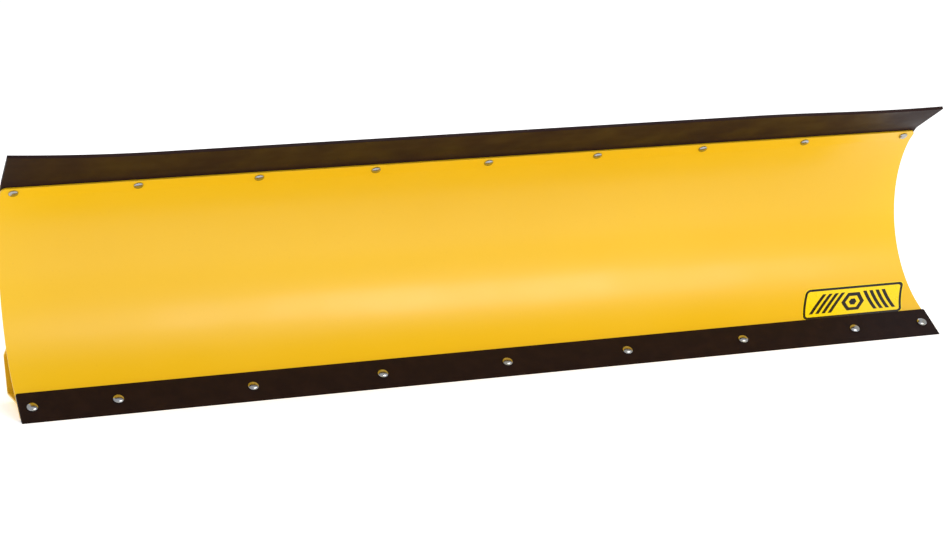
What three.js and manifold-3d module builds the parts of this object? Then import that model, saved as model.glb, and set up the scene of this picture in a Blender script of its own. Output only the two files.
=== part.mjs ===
// Snow plow blade for an ATV or UTV, 72 inches wide.
// Millimetres. +X runs along the blade, the blade faces -Y, +Z is up.
// The origin is under the middle of the blade's box, on the ground it stands on.

import * as THREE from 'three';
import { mergeVertices } from 'three/addons/utils/BufferGeometryUtils.js';
import Module from 'manifold-3d';

const wasm = await Module();
wasm.setup();

// ---------------------------------------------------------------- driving dimensions

const INCH = 25.4;
const WIDTH = 72 * INCH;
const GAP = 0.3;                    // left between pieces that touch

const BAR_WIDTH = 3 * INCH;
const BAR_THICKNESS = 0.25 * INCH;
const BAR_ANGLE = 30;               // the bar's lean from the ground, degrees

const SHEET = 3;                    // moldboard steel
const FLAT_START = 24;              // the sheet's lower edge, up the bar from its own edge
const FLAT_END = 97.4;              // where the flat runs into the roll
const ROLL_RADIUS = 218;            // to the front face
const ROLL_SWEEP = 100.6;           // degrees
const ROLL_STEPS = 24;
const LIP_BEND = 5.7;               // degrees, a crease between the roll and the lip
const LIP_LENGTH = 28;
const LIP_CORNER = 12;

const FLAP_THICKNESS = 6;
const FLAP_REACH = 118;             // along its front face, from the lip's edge to the tip
const FLAP_BEND = 15;               // degrees, how far the rubber bends forward over the lip's edge
const FLAP_BEND_REACH = 16;
const FLAP_BEND_STEPS = 4;
const STRIP_THICKNESS = 3;

const CHANNEL_THICKNESS = 4;
const RIB_THICKNESS = 6;
const PLATE_THICKNESS = 8;

const POST_RADIUS = 8;              // skid shoe posts and pivot pins
const POST_BORE = 8.4;
const POST_TOP = 114;
const FOOT_RADIUS = 40;
const SKID_X = 700;
const SKID_Y = 232;
const SPACER_HEIGHT = 6;
const SLEEVE_TOP = 85;
const SLEEVE_RADIUS = 14;
const SHOE_DROP = 14;               // free travel under the sleeve

const PIVOT_X = 190;
const PIVOT_Y = 236;
const PIVOT_Z = 48;
const PIVOT_OPENING = 45;           // clear width between a pair of ears

const CLIP_RADIUS = 3;              // linch pin shank
const CLIP_BORE = 3.4;
const CLIP_HEAD = 5;                // radius of its head
const CLIP_HEAD_LENGTH = 9;
const CLIP_LENGTH = 38;
const CLIP_STANDOFF = 13;           // from the post's axis to the middle of the clip's head
const RING_RADIUS = 16;
const RING_WIRE = 1.5;
const RING_BORE = 2.6;              // the hole in the clip's head that the ring turns in
const RING_TILT = 8.6;              // degrees, where the closed ring rests on the clip's tip

const DEPTH = SKID_Y + FOOT_RADIUS; // from the wear bar's edge to the back of the skid shoes

// ---------------------------------------------------------------- places on the section
// A place on the section is [y, z], measured from the wear bar's lower front edge.

const radians = THREE.MathUtils.degToRad;
const unit = (degrees) => [Math.cos(radians(degrees)), Math.sin(radians(degrees))];

// up: distance along the bar from its lower edge, behind: distance behind its front face
function onBar(up, behind) {
  const [c, s] = unit(BAR_ANGLE);
  return [up * c + behind * s, up * s - behind * c];
}

const [tangentY, tangentZ] = onBar(FLAT_END, BAR_THICKNESS + GAP);
const ROLL_START = BAR_ANGLE - 90;
const ROLL_END = ROLL_START + ROLL_SWEEP;
const [startY, startZ] = unit(ROLL_START);
const ROLL_CENTRE = [tangentY - ROLL_RADIUS * startY, tangentZ - ROLL_RADIUS * startZ];
const BACK = ROLL_RADIUS + SHEET + GAP;

function onRoll(radius, degrees) {
  const [c, s] = unit(degrees);
  return [ROLL_CENTRE[0] + radius * c, ROLL_CENTRE[1] + radius * s];
}

function arc(radius, from, to, steps) {
  const places = [];
  for (let i = 0; i <= steps; i++) {
    places.push(onRoll(radius, from + (to - from) * i / steps));
  }
  return places;
}

const LIP_ANGLE = ROLL_END + 90 + LIP_BEND;
const CREASE = onRoll(ROLL_RADIUS, ROLL_END);

// up: distance along the lip from the crease, behind: distance behind its front face
function onLip(up, behind) {
  const [c, s] = unit(LIP_ANGLE);
  return [CREASE[0] + up * c + behind * s, CREASE[1] + up * s - behind * c];
}

// ---------------------------------------------------------------- solids

// A strip of constant thickness on the right-hand side of a path of places.
function ribbon(path, thickness) {
  const right = [];
  for (let i = 0; i + 1 < path.length; i++) {
    const dy = path[i + 1][0] - path[i][0];
    const dz = path[i + 1][1] - path[i][1];
    const length = Math.hypot(dy, dz);
    right.push([dz / length, -dy / length]);
  }
  const offset = path.map(([y, z], i) => {
    const a = right[Math.max(i - 1, 0)];
    const b = right[Math.min(i, right.length - 1)];
    const k = thickness / (1 + a[0] * b[0] + a[1] * b[1]);
    return [y + (a[0] + b[0]) * k, z + (a[1] + b[1]) * k];
  });
  return outline([...path, ...offset.reverse()]);
}

function outline(places) {
  return new THREE.Shape(places.map(([y, z]) => new THREE.Vector2(y, z)));
}

// Turns local x, y, z into the given directions and moves the origin.
function place(geometry, x, y, z, origin) {
  const basis = new THREE.Matrix4().makeBasis(x, y, z);
  return geometry.applyMatrix4(basis.setPosition(origin));
}

const X = new THREE.Vector3(1, 0, 0);
const Y = new THREE.Vector3(0, 1, 0);
const Z = new THREE.Vector3(0, 0, 1);

// A section drawn in Y and Z, run along X from x0 to x1.
function run(shape, x0, x1, curveSegments = 8) {
  const geometry = new THREE.ExtrudeGeometry(shape, {
    depth: x1 - x0, bevelEnabled: false, curveSegments,
  });
  return place(geometry, Y, Z, X, new THREE.Vector3(x0, 0, 0));
}

// A turned piece: [radius, height] steps, its axis along direction from origin.
function turned(profile, sides, origin, direction) {
  const steps = profile.map(([r, h]) => new THREE.Vector2(r, h));
  const geometry = new THREE.LatheGeometry(steps, sides);
  const turn = new THREE.Quaternion().setFromUnitVectors(Y, direction);
  return geometry.applyQuaternion(turn).translate(origin.x, origin.y, origin.z);
}

function rod(radius, length, sides, origin, direction) {
  return turned([[0, 0], [radius, 0], [radius, length], [0, length]], sides, origin, direction);
}

function solid(geometry) {
  const bare = geometry.clone();
  bare.deleteAttribute('normal');
  bare.deleteAttribute('uv');
  const merged = mergeVertices(bare, 1e-4);
  return new wasm.Manifold(new wasm.Mesh({
    numProp: 3,
    vertProperties: merged.attributes.position.array,
    triVerts: new Uint32Array(merged.index.array),
  }));
}

function surface(body) {
  const mesh = body.getMesh();
  const geometry = new THREE.BufferGeometry();
  geometry.setAttribute('position', new THREE.BufferAttribute(mesh.vertProperties, 3));
  geometry.setIndex(new THREE.BufferAttribute(mesh.triVerts, 1));
  geometry.computeVertexNormals();
  return geometry;
}

function join(...geometries) {
  return surface(geometries.map(solid).reduce((a, b) => a.add(b)));
}

function cut(geometry, tools) {
  return surface(tools.map(solid).reduce((a, b) => a.subtract(b), solid(geometry)));
}

// ---------------------------------------------------------------- the assembly

const blade = new THREE.Group();
blade.position.y = -DEPTH / 2;

const paint = {
  yellow: { color: 0xf2b92c, roughness: 0.38, metalness: 0.0 },
  black: { color: 0x241c18, roughness: 0.45, metalness: 0.3 },
  rubber: { color: 0x2b2622, roughness: 0.6, metalness: 0.0 },
  zinc: { color: 0xc9cbd0, roughness: 0.28, metalness: 1.0 },
  label: { color: 0xf6df12, roughness: 0.35, metalness: 0.0 },
};

function add(name, geometry, finish) {
  const mesh = new THREE.Mesh(geometry, new THREE.MeshStandardMaterial(paint[finish]));
  mesh.name = name;
  blade.add(mesh);
}

const sides = [['left', -1], ['right', 1]];

// ---------------------------------------------------------------- bolts

const BAR_BOLT = { head: 10.2, dome: 5, shank: 4.76, bore: 5.2, nut: 8.25, nutHeight: 6.6 };
const FLAP_BOLT = { head: 8.8, dome: 4.2, shank: 3.97, bore: 4.4, nut: 7.3, nutHeight: 6.6 };
const BOLT_COUNT = 9;
const BOLT_SIDES = 12;
const BAR_BOLT_EDGE = 23.6;
const BAR_BOLT_FIRST_PITCH = 6 * INCH;
const FLAP_BOLT_EDGE = 22.9;

function barBoltX(i) {
  if (i === 0 || i === BOLT_COUNT - 1) {
    return (i === 0 ? -1 : 1) * (WIDTH / 2 - BAR_BOLT_EDGE);
  }
  const inner = WIDTH - 2 * (BAR_BOLT_EDGE + BAR_BOLT_FIRST_PITCH);
  return -inner / 2 + inner * (i - 1) / (BOLT_COUNT - 3);
}

function flapBoltX(i) {
  return -WIDTH / 2 + FLAP_BOLT_EDGE + (WIDTH - 2 * FLAP_BOLT_EDGE) * i / (BOLT_COUNT - 1);
}

const BAR_BOLT_UP = BAR_WIDTH / 2;
const FLAP_BOLT_UP = LIP_LENGTH / 2;
const barBack = new THREE.Vector3(0, ...onBar(0, 1));
const lipBack = new THREE.Vector3(0, ...onLip(0, 1)).sub(new THREE.Vector3(0, ...onLip(0, 0)));
const BOLT_NUMBERS = Array.from({ length: BOLT_COUNT }, (_, i) => i);
const DRILL_BEFORE = 20;            // a drill starts this far in front of the face
const DRILL_LENGTH = 60;
const DRILL_SIDES = 12;

// A dome head in front of the face, a shank through the stack and a nut behind it.
function bolt(size, stack, origin, direction) {
  const { head, dome, shank, nut, nutHeight } = size;
  const end = stack + GAP + nutHeight;
  const profile = [[0, -dome - GAP]];
  for (const degrees of [60, 28]) {
    const [c, s] = unit(degrees);
    profile.push([head * c, -GAP - dome * s]);
  }
  profile.push([head, -GAP], [shank, -GAP], [shank, end], [0, end]);
  const stem = turned(profile, BOLT_SIDES, origin, direction);
  const seat = origin.clone().addScaledVector(direction, stack + GAP);
  return join(stem, rod(nut, nutHeight, 6, seat, direction));
}

function boltHoles(size, xs, at, direction) {
  return xs.map((x) => {
    const start = new THREE.Vector3(x, ...at).addScaledVector(direction, -DRILL_BEFORE);
    return rod(size.bore, DRILL_LENGTH, DRILL_SIDES, start, direction);
  });
}

const barBoltXs = BOLT_NUMBERS.map(barBoltX);
const flapBoltXs = BOLT_NUMBERS.map(flapBoltX);
const barHoles = () => boltHoles(BAR_BOLT, barBoltXs, onBar(BAR_BOLT_UP, 0), barBack);
const lipHoles = () => boltHoles(FLAP_BOLT, flapBoltXs, onLip(FLAP_BOLT_UP, 0), lipBack);

const barStack = BAR_THICKNESS + GAP + SHEET;
const flapStack = SHEET + FLAP_THICKNESS + STRIP_THICKNESS + 2 * GAP;
for (const i of BOLT_NUMBERS) {
  const low = new THREE.Vector3(barBoltXs[i], ...onBar(BAR_BOLT_UP, 0));
  const high = new THREE.Vector3(flapBoltXs[i], ...onLip(FLAP_BOLT_UP, 0));
  add(`wear_bar_bolt_${i + 1}`, bolt(BAR_BOLT, barStack, low, barBack), 'zinc');
  add(`flap_bolt_${i + 1}`, bolt(FLAP_BOLT, flapStack, high, lipBack), 'zinc');
}

// ---------------------------------------------------------------- moldboard

// What a rounded corner of the lip leaves away, on one side.
function lipCorner(side) {
  const r = LIP_CORNER;
  const waste = new THREE.Shape();
  waste.moveTo(-r, 0);
  waste.absarc(-r, -r, r, Math.PI / 2, 0, true);
  waste.lineTo(1, -r);
  waste.lineTo(1, 1);
  waste.lineTo(-r, 1);
  const depth = 4 * SHEET;
  const tool = new THREE.ExtrudeGeometry(waste, { depth, bevelEnabled: false, curveSegments: 6 });
  const x = X.clone().multiplyScalar(side);
  const up = new THREE.Vector3(0, ...unit(LIP_ANGLE));
  const corner = new THREE.Vector3(side * WIDTH / 2, ...onLip(LIP_LENGTH, SHEET / 2));
  return place(tool.translate(0, 0, -depth / 2), x, up, x.clone().cross(up), corner);
}

const moldboardPath = [
  onBar(FLAT_START, BAR_THICKNESS + GAP),
  ...arc(ROLL_RADIUS, ROLL_START, ROLL_END, ROLL_STEPS),
  onLip(LIP_LENGTH, 0),
];
const sheet = run(ribbon(moldboardPath, SHEET), -WIDTH / 2, WIDTH / 2);
add('moldboard', cut(sheet, [...barHoles(), ...lipHoles(), lipCorner(-1), lipCorner(1)]), 'yellow');

// ---------------------------------------------------------------- wear bar
// Its lower edge is ground level with the ground.

const groundEdge = BAR_THICKNESS / Math.sin(radians(BAR_ANGLE));
const barOutline = outline([
  [0, 0],
  [groundEdge, 0],
  onBar(BAR_WIDTH, BAR_THICKNESS),
  onBar(BAR_WIDTH, 0),
]);
add('wear_bar', cut(run(barOutline, -WIDTH / 2, WIDTH / 2), barHoles()), 'black');

// ---------------------------------------------------------------- snow flap
// One rubber sheet: its clamped edge and its free part, which bends at the lip's edge.

const flapFront = SHEET + GAP;
const flapBack = flapFront + FLAP_THICKNESS;
const CLAMP_START = 2;
const CLAMP_END = LIP_LENGTH - 2;
const FREE_START = LIP_LENGTH + 1;

function lipStrip(from, to, front, thickness) {
  const path = [onLip(from, front), onLip(to, front)];
  return run(ribbon(path, thickness), -WIDTH / 2, WIDTH / 2);
}

const clampedEdge = lipStrip(CLAMP_START, CLAMP_END, flapFront, FLAP_THICKNESS);
add('snow_flap_clamped_edge', cut(clampedEdge, lipHoles()), 'rubber');

const bendRadius = FLAP_BEND_REACH / radians(FLAP_BEND);
const flapPath = [onLip(FREE_START, flapFront)];
function onBend(degrees, beyond) {
  const [c, s] = unit(degrees);
  return onLip(LIP_LENGTH + bendRadius * s + beyond * c, flapFront - bendRadius * (1 - c) - beyond * s);
}
for (let i = 1; i <= FLAP_BEND_STEPS; i++) {
  flapPath.push(onBend(FLAP_BEND * i / FLAP_BEND_STEPS, 0));
}
flapPath.push(onBend(FLAP_BEND, FLAP_REACH - FLAP_BEND_REACH));
add('snow_flap', run(ribbon(flapPath, FLAP_THICKNESS), -WIDTH / 2, WIDTH / 2), 'rubber');

const clampStrip = lipStrip(CLAMP_START, CLAMP_END - 2, flapBack + GAP, STRIP_THICKNESS);
add('flap_clamp_strip', cut(clampStrip, lipHoles()), 'yellow');

// ---------------------------------------------------------------- label

const LABEL_CENTRE = 755;           // at its lower edge
const LABEL_WIDTH = 226;
const LABEL_START = 80;             // up the bar
const LABEL_TOP = -43.7;            // degrees on the roll
const LABEL_LEAN = 0.88;            // to the right, for each millimetre up
const LABEL_THICKNESS = 0.4;
const labelFront = BAR_THICKNESS - LABEL_THICKNESS;
const labelPath = [
  onBar(LABEL_START, labelFront),
  ...arc(ROLL_RADIUS - GAP - LABEL_THICKNESS, ROLL_START, LABEL_TOP, 5),
];
const labelStart = LABEL_CENTRE - LABEL_WIDTH / 2;
const uprightLabel = run(ribbon(labelPath, LABEL_THICKNESS), labelStart, labelStart + LABEL_WIDTH);
const labelUp = new THREE.Vector3(LABEL_LEAN, 0, 1);
const labelShift = new THREE.Vector3(-LABEL_LEAN * labelPath[0][1], 0, 0);
add('label', place(uprightLabel, X, Y, labelUp, labelShift), 'label');

// ---------------------------------------------------------------- stiffening behind the moldboard

const CHANNEL_TOP = [192, 79];
const CHANNEL_BOTTOM = [164.5, 11];
const CHANNEL_FRONT = [63, 20.3];
const CHANNEL_MEETS = -36.7;        // degrees on the roll, where the channel's top meets the sheet
const channelPath = [onRoll(BACK, CHANNEL_MEETS), CHANNEL_TOP, CHANNEL_BOTTOM, CHANNEL_FRONT];
add('lower_channel', run(ribbon(channelPath, CHANNEL_THICKNESS), -WIDTH / 2, WIDTH / 2), 'yellow');

const STIFFENER_RADIUS = 253;
const STIFFENER_HIGH = 34;
const STIFFENER_LOW = 20;
const STIFFENER_INSET = 40;
const stiffenerPath = [
  onRoll(BACK, STIFFENER_HIGH),
  onRoll(STIFFENER_RADIUS, STIFFENER_HIGH),
  onRoll(STIFFENER_RADIUS, STIFFENER_LOW),
  onRoll(BACK, STIFFENER_LOW),
];
const stiffenerEnd = WIDTH / 2 - STIFFENER_INSET;
add('upper_channel', run(ribbon(stiffenerPath, CHANNEL_THICKNESS), -stiffenerEnd, stiffenerEnd), 'yellow');

const RIB_OUTER = 255;
const RIB_LOW = -35.4;              // degrees on the roll, just above the lower channel
const RIB_HIGH = 19.7;              // just below the upper channel
const RIB_HEEL = -30;
const RIB_SHOULDER = 12;
const RIB_TOP_OUTER = STIFFENER_RADIUS - 6;
const ribOutline = outline([
  ...arc(BACK, RIB_LOW, RIB_HIGH, 14),
  onRoll(RIB_TOP_OUTER, RIB_HIGH),
  ...arc(RIB_OUTER, RIB_SHOULDER, RIB_HEEL, 12),
  onRoll(RIB_OUTER, RIB_LOW),
]);
const RIB_X = [-850, -500, -150, 150, 500, 850];
RIB_X.forEach((x, i) => {
  const rib = run(ribOutline, x - RIB_THICKNESS / 2, x + RIB_THICKNESS / 2);
  add(`rib_${i + 1}`, rib, 'yellow');
});

// ---------------------------------------------------------------- plates on the lower channel

// The channel's rear face at a height, with room for the weld.
function behindChannel(z) {
  const [topY, topZ] = CHANNEL_TOP;
  const [bottomY, bottomZ] = CHANNEL_BOTTOM;
  return topY + (z - topZ) * (topY - bottomY) / (topZ - bottomZ) + 2 * GAP;
}

const EAR_RADIUS = 20;
const EAR_LOW = 26;                 // heights of the ear's foot on the channel
const EAR_HIGH = 76;
const earOutline = new THREE.Shape();
earOutline.moveTo(behindChannel(EAR_LOW), EAR_LOW);
earOutline.lineTo(PIVOT_Y, PIVOT_Z - EAR_RADIUS);
earOutline.absarc(PIVOT_Y, PIVOT_Z, EAR_RADIUS, -Math.PI / 2, Math.PI / 2, false);
earOutline.lineTo(behindChannel(EAR_HIGH), EAR_HIGH);
const earBore = new THREE.Path();
earBore.absarc(PIVOT_Y, PIVOT_Z, POST_BORE, 0, 2 * Math.PI, true);
earOutline.holes.push(earBore);

const PIN_HEAD = 6;
const PIN_HEAD_RADIUS = 12;
const PIN_CHAMFER = 1.5;
const PIN_TAIL = 18;
const PIN_HOLE = 8;                 // from the outer ear to the clip
const earOuter = PIVOT_OPENING / 2 + PLATE_THICKNESS;

function clipDrill(hole, direction) {
  const start = hole.clone().addScaledVector(direction, -DRILL_BEFORE);
  return rod(CLIP_BORE, DRILL_LENGTH, DRILL_SIDES, start, direction);
}

for (const [side, sign] of sides) {
  const centre = sign * PIVOT_X;
  const out = X.clone().multiplyScalar(sign);
  for (const [where, near] of [['inner', -1], ['outer', 1]]) {
    const middle = centre + sign * near * (PIVOT_OPENING + PLATE_THICKNESS) / 2;
    const ear = run(earOutline, middle - PLATE_THICKNESS / 2, middle + PLATE_THICKNESS / 2, 12);
    add(`pivot_ear_${side}_${where}`, ear, 'yellow');
  }
  const headEnd = new THREE.Vector3(centre - sign * (earOuter + GAP + PIN_HEAD), PIVOT_Y, PIVOT_Z);
  const length = 2 * earOuter + GAP + PIN_HEAD + PIN_TAIL;
  const pin = turned([
    [0, 0], [PIN_HEAD_RADIUS - 1, 0], [PIN_HEAD_RADIUS, 1], [PIN_HEAD_RADIUS, PIN_HEAD],
    [POST_RADIUS, PIN_HEAD], [POST_RADIUS, length - PIN_CHAMFER],
    [POST_RADIUS - PIN_CHAMFER, length], [0, length],
  ], 16, headEnd, out);
  const hole = new THREE.Vector3(centre + sign * (earOuter + PIN_HOLE), PIVOT_Y, PIVOT_Z);
  add(`pivot_pin_${side}`, cut(pin, [clipDrill(hole, Z)]), 'zinc');
  linchPin(`pivot_pin_clip_${side}`, hole, Z.clone().negate(), out);
}

// ---------------------------------------------------------------- trip spring anchors

const ANCHOR_SEAT = STIFFENER_RADIUS * Math.cos(radians((STIFFENER_HIGH - STIFFENER_LOW) / 2)) + GAP;
const ANCHOR_REACH = 22;
const ANCHOR_HALF_WIDTH = 13;
const ANCHOR_EYE = 6.5;
for (const [side, sign] of sides) {
  const tab = new THREE.Shape();
  tab.moveTo(ANCHOR_SEAT, -ANCHOR_HALF_WIDTH);
  tab.lineTo(ANCHOR_SEAT + ANCHOR_REACH, -ANCHOR_HALF_WIDTH);
  tab.absarc(ANCHOR_SEAT + ANCHOR_REACH, 0, ANCHOR_HALF_WIDTH, -Math.PI / 2, Math.PI / 2, false);
  tab.lineTo(ANCHOR_SEAT, ANCHOR_HALF_WIDTH);
  const eye = new THREE.Path();
  eye.absarc(ANCHOR_SEAT + ANCHOR_REACH, 0, ANCHOR_EYE, 0, 2 * Math.PI, true);
  tab.holes.push(eye);
  const anchor = run(tab, sign * PIVOT_X - RIB_THICKNESS / 2, sign * PIVOT_X + RIB_THICKNESS / 2, 10);
  anchor.rotateX(radians((STIFFENER_HIGH + STIFFENER_LOW) / 2));
  anchor.translate(0, ...ROLL_CENTRE);
  add(`trip_spring_anchor_${side}`, anchor, 'yellow');
}

// ---------------------------------------------------------------- skid shoes

const COLLAR_TOP = 20;
const SLEEVE_BOTTOM = COLLAR_TOP + 2 * SPACER_HEIGHT + 3 * GAP;
const SHOE_CLIP_Z = SLEEVE_TOP + SHOE_DROP + CLIP_HEAD + GAP;

function tube(outer, inner, x, y, z0, z1) {
  const ring = new THREE.Shape();
  ring.absarc(0, 0, outer, 0, 2 * Math.PI, false);
  const bore = new THREE.Path();
  bore.absarc(0, 0, inner, 0, 2 * Math.PI, true);
  ring.holes.push(bore);
  const geometry = new THREE.ExtrudeGeometry(ring, {
    depth: z1 - z0, bevelEnabled: false, curveSegments: 12,
  });
  return geometry.translate(x, y, z0);
}

for (const [side, sign] of sides) {
  const x = sign * SKID_X;
  const low = SLEEVE_BOTTOM + 2;
  const high = CHANNEL_TOP[1] - 2;
  const back = SKID_Y - POST_BORE - 2;
  const web = outline([
    [behindChannel(low), low],
    [back, low],
    [back, high],
    [behindChannel(high), high],
  ]);
  const sleeve = tube(SLEEVE_RADIUS, POST_BORE, x, SKID_Y, SLEEVE_BOTTOM, SLEEVE_TOP);
  const gusset = run(web, x - PLATE_THICKNESS / 2, x + PLATE_THICKNESS / 2);
  add(`skid_bracket_${side}`, join(sleeve, gusset), 'yellow');

  for (const i of [0, 1]) {
    const bottom = COLLAR_TOP + GAP + i * (SPACER_HEIGHT + GAP);
    const spacer = tube(SLEEVE_RADIUS + 1, POST_BORE, x, SKID_Y, bottom, bottom + SPACER_HEIGHT);
    add(`skid_spacer_${side}_${i + 1}`, spacer, 'zinc');
  }

  const shoe = turned([
    [0, 0], [26, 0], [35, 3.5], [FOOT_RADIUS, 9], [FOOT_RADIUS, 11.5], [34, 10], [24, 13],
    [14, 17], [13, COLLAR_TOP], [POST_RADIUS, COLLAR_TOP],
    [POST_RADIUS, POST_TOP - PIN_CHAMFER], [POST_RADIUS - PIN_CHAMFER, POST_TOP], [0, POST_TOP],
  ], 24, new THREE.Vector3(x, SKID_Y, 0), Z);
  const hole = new THREE.Vector3(x, SKID_Y, SHOE_CLIP_Z);
  const inward = X.clone().multiplyScalar(-sign);
  add(`skid_shoe_${side}`, cut(shoe, [clipDrill(hole, inward)]), 'black');
  linchPin(`skid_shoe_clip_${side}`, hole, inward, Z);
}

// ---------------------------------------------------------------- linch pins
// A headed clip pushed through a post, and a snap ring that turns in the clip's head
// and closes round the post onto the clip's tip.

function linchPin(name, hole, inward, freeEnd) {
  const head = hole.clone().addScaledVector(inward, -CLIP_STANDOFF);
  const start = head.clone().addScaledVector(inward, -CLIP_HEAD_LENGTH / 2);
  const across = freeEnd.clone().cross(inward);
  const body = turned([
    [0, 0], [CLIP_HEAD - 1, 0], [CLIP_HEAD, 1], [CLIP_HEAD, CLIP_HEAD_LENGTH - 0.5],
    [CLIP_RADIUS, CLIP_HEAD_LENGTH], [CLIP_RADIUS, CLIP_LENGTH - 2],
    [CLIP_RADIUS - 1.5, CLIP_LENGTH], [0, CLIP_LENGTH],
  ], 16, start, inward);
  const eyeStart = head.clone().addScaledVector(across, -DRILL_BEFORE);
  const eye = rod(RING_BORE, DRILL_LENGTH, DRILL_SIDES, eyeStart, across);
  add(name, cut(body, [eye]), 'zinc');

  const reach = inward.clone().multiplyScalar(Math.cos(radians(RING_TILT)));
  reach.addScaledVector(freeEnd, Math.sin(radians(RING_TILT)));
  const ring = new THREE.TorusGeometry(RING_RADIUS, RING_WIRE, 6, 20);
  const centre = head.clone().addScaledVector(reach, RING_RADIUS);
  add(`${name}_ring`, place(ring, across, reach, across.clone().cross(reach), centre), 'zinc');
}

export default blade;
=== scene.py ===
"""An ATV plow blade on a pale studio floor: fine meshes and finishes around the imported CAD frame."""

import math

import bmesh
import bpy
from mathutils import Matrix, Vector, noise


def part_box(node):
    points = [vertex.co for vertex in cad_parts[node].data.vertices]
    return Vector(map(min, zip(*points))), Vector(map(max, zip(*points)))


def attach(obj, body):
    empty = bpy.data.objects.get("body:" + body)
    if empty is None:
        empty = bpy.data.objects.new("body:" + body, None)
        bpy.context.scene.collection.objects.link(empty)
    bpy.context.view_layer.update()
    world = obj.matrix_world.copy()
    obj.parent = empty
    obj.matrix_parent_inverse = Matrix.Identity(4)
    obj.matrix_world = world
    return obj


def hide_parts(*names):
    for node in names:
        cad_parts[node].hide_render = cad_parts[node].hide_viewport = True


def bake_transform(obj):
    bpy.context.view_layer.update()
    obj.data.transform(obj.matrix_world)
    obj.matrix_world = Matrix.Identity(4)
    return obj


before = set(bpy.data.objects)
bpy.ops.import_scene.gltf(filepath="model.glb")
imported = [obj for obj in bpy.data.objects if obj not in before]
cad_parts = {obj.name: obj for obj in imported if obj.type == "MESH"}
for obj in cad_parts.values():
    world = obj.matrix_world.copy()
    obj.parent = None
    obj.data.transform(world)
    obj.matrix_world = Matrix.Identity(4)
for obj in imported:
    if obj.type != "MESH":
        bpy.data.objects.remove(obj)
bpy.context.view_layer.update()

MM = 0.001
INCH = 25.4 * MM
GAP = 0.3 * MM

# ---------------------------------------------------------------- camera

camera = bpy.data.objects.new("camera", bpy.data.cameras.new("camera"))
bpy.context.scene.collection.objects.link(camera)
camera.location = (-1.4901, -4.02, 1.1225)
camera.rotation_euler = (1.3531, 0.0026, -0.3496)
camera.data.lens = 87.2
camera.data.sensor_width = 36
bpy.context.scene.camera = camera

# ---------------------------------------------------------------- the section
# A place on the section is (y, z) in the row frame. The wear bar's lower front edge starts it.

HALF_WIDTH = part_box("moldboard")[1].x
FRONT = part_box("wear_bar")[0].y
BAR_ANGLE = math.radians(30)
BAR_WIDTH = 3 * INCH
BAR_THICKNESS = 0.25 * INCH
SHEET = 3 * MM
FLAT_START = 24 * MM
FLAT_END = 97.4 * MM
ROLL_RADIUS = 218 * MM
ROLL_SWEEP = math.radians(100.6)
LIP_BEND = math.radians(5.7)
LIP_LENGTH = 28 * MM
LIP_CORNER = 12 * MM
LABEL_ASPECT = 0.35         # height over width of its drawing
LABEL_START = 80 * MM       # up the bar
LABEL_TOP = math.radians(-43.7)
LABEL_LEAN = 0.88           # to the right, for each metre up
LABEL_THICKNESS = 0.4 * MM
LABEL_CORNER = 9 * MM


def turn(angle):
    return math.cos(angle), math.sin(angle)


def on_bar(up, behind):
    """A place by its distance up the bar and behind the bar's front face."""
    c, s = turn(BAR_ANGLE)
    return FRONT + up * c + behind * s, up * s - behind * c


ROLL_START = BAR_ANGLE - math.pi / 2
ROLL_END = ROLL_START + ROLL_SWEEP
TANGENT = on_bar(FLAT_END, BAR_THICKNESS + GAP)
ROLL_CENTRE = (
    TANGENT[0] - ROLL_RADIUS * math.cos(ROLL_START),
    TANGENT[1] - ROLL_RADIUS * math.sin(ROLL_START),
)


def on_roll(radius, angle):
    c, s = turn(angle)
    return ROLL_CENTRE[0] + radius * c, ROLL_CENTRE[1] + radius * s


def roll(radius, start, end, steps):
    return [on_roll(radius, start + (end - start) * i / steps) for i in range(steps + 1)]


CREASE = on_roll(ROLL_RADIUS, ROLL_END)
LIP_ANGLE = ROLL_END + math.pi / 2 + LIP_BEND


def on_lip(up, behind):
    """A place by its distance up the lip from the crease and behind the lip's front face."""
    c, s = turn(LIP_ANGLE)
    return CREASE[0] + up * c + behind * s, CREASE[1] + up * s - behind * c


BAR_BACK = Vector((0, math.sin(BAR_ANGLE), -math.cos(BAR_ANGLE)))
LIP_BACK = Vector((0, math.sin(LIP_ANGLE), -math.cos(LIP_ANGLE)))

# ---------------------------------------------------------------- materials


def linear(r, g, b):
    """Scene-linear colour from the display values of a colour, each from 0 to 255."""
    return tuple(
        (v / 255 / 12.92) if v <= 10 else ((v / 255 + 0.055) / 1.055) ** 2.4 for v in (r, g, b)
    ) + (1.0,)


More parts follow.
